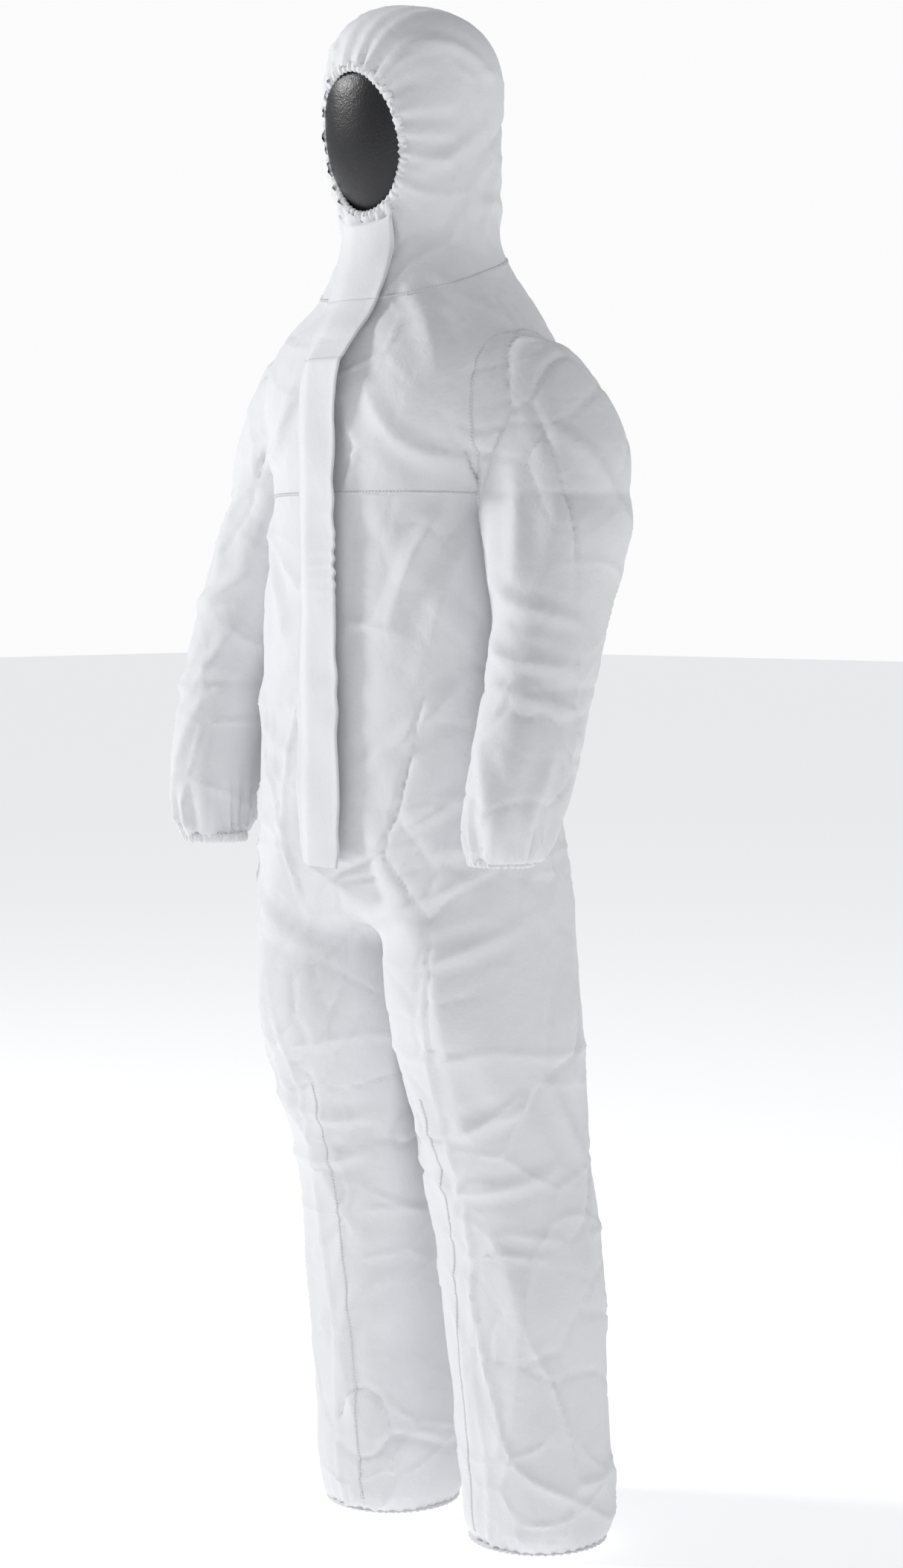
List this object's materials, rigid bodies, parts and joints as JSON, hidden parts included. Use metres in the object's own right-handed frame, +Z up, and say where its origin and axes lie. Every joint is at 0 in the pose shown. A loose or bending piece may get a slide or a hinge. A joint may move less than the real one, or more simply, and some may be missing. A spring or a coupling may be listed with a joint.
{
  "type": "chemical protective suit",
  "caption": "White hooded non-woven coverall with gathered wrists and turned-under ankle hems, zip under a storm flap, shown on a faceless display head.",
  "frame": {"origin": "on the floor under the middle of the trunk", "axes": "+Z up, the wearer faces -Y, the wearer's left is +X"},
  "size_m": [0.5808, 0.3314, 1.799],
  "materials": {
    "nonwoven": "matte",
    "zip_tape": "matte",
    "elastic": "matte",
    "zip_coil": "satin",
    "zip_metal": "satin",
    "adhesive": "gloss",
    "liner_paper": "satin",
    "head_skin": "satin"
  },
  "bodies": {
    "torso": {"front_left_panel": "nonwoven", "front_right_panel": "nonwoven", "back_left_panel": "nonwoven", "back_right_panel": "nonwoven", "waist_elastic": "elastic", "chest_left_panel": "nonwoven", "chest_right_panel": "nonwoven", "back_yoke_left": "nonwoven", "back_yoke_right": "nonwoven", "zip_tape_left": "zip_tape", "zip_tape_right": "zip_tape", "zip_coil_left": "zip_coil", "zip_coil_right": "zip_coil", "zip_stops": "zip_metal", "collar_flap": "nonwoven"},
    "hood": {"hood_left_panel": "nonwoven", "hood_right_panel": "nonwoven", "hood_centre_panel": "nonwoven", "chin_panel": "nonwoven", "face_elastic": "elastic", "head_form": "head_skin", "chin_flap": "nonwoven"},
    "flap": {"storm_flap": "nonwoven", "flap_adhesive": "adhesive", "flap_liner": "liner_paper"},
    "slider": {"zip_slider": "zip_metal"},
    "puller": {"zip_puller": "zip_metal"},
    "left_upper_sleeve": {"left_sleeve_upper": "nonwoven"},
    "left_lower_sleeve": {"left_sleeve_lower": "nonwoven", "left_cuff_elastic": "elastic"},
    "left_thigh": {"left_leg_upper": "nonwoven"},
    "left_shin": {"left_leg_lower": "nonwoven", "left_ankle_elastic": "elastic"},
    "right_upper_sleeve": {"right_sleeve_upper": "nonwoven"},
    "right_lower_sleeve": {"right_sleeve_lower": "nonwoven", "right_cuff_elastic": "elastic"},
    "right_thigh": {"right_leg_upper": "nonwoven"},
    "right_shin": {"right_leg_lower": "nonwoven", "right_ankle_elastic": "elastic"}
  },
  "joints": [
    {"name": "hood_nod", "type": "hinge", "parent": "torso", "child": "hood", "pos_m": [0, 0.015, 1.512], "axis": [1, 0, 0], "range_deg": [-12, 16]},
    {"name": "left_shoulder", "type": "hinge", "parent": "torso", "child": "left_upper_sleeve", "pos_m": [0.16, 0.01, 1.345], "axis": [-1, 0, 0], "range_deg": [-20, 60]},
    {"name": "left_elbow", "type": "hinge", "parent": "left_upper_sleeve", "child": "left_lower_sleeve", "pos_m": [0.235, -0.055, 1.1], "axis": [-1, 0, 0], "range_deg": [0, 75]},
    {"name": "left_hip", "type": "hinge", "parent": "torso", "child": "left_thigh", "pos_m": [0.099, -0.06, 0.8], "axis": [-1, 0, 0], "range_deg": [-15, 40]},
    {"name": "left_knee", "type": "hinge", "parent": "left_thigh", "child": "left_shin", "pos_m": [0.118, 0.07, 0.45], "axis": [1, 0, 0], "range_deg": [0, 70]},
    {"name": "right_shoulder", "type": "hinge", "parent": "torso", "child": "right_upper_sleeve", "pos_m": [-0.16, 0.01, 1.345], "axis": [-1, 0, 0], "range_deg": [-20, 60]},
    {"name": "right_elbow", "type": "hinge", "parent": "right_upper_sleeve", "child": "right_lower_sleeve", "pos_m": [-0.235, -0.055, 1.1], "axis": [-1, 0, 0], "range_deg": [0, 75]},
    {"name": "right_hip", "type": "hinge", "parent": "torso", "child": "right_thigh", "pos_m": [-0.099, -0.06, 0.8], "axis": [-1, 0, 0], "range_deg": [-15, 40]},
    {"name": "right_knee", "type": "hinge", "parent": "right_thigh", "child": "right_shin", "pos_m": [-0.118, 0.07, 0.45], "axis": [1, 0, 0], "range_deg": [0, 70]},
    {"name": "flap_fold", "type": "hinge", "parent": "torso", "child": "flap", "pos_m": [-0.046, -0.158, 1.114], "axis": [0, 0, -1], "range_deg": [0, 150]},
    {"name": "zip_slide", "type": "slide", "parent": "torso", "child": "slider", "axis": [0, 0, -1], "range_m": [0, 0.44]},
    {"name": "puller_lift", "type": "hinge", "parent": "slider", "child": "puller", "pos_m": [0, -0.1511, 1.298], "axis": [-1, 0, 0], "range_deg": [0, 15]}
  ]
}
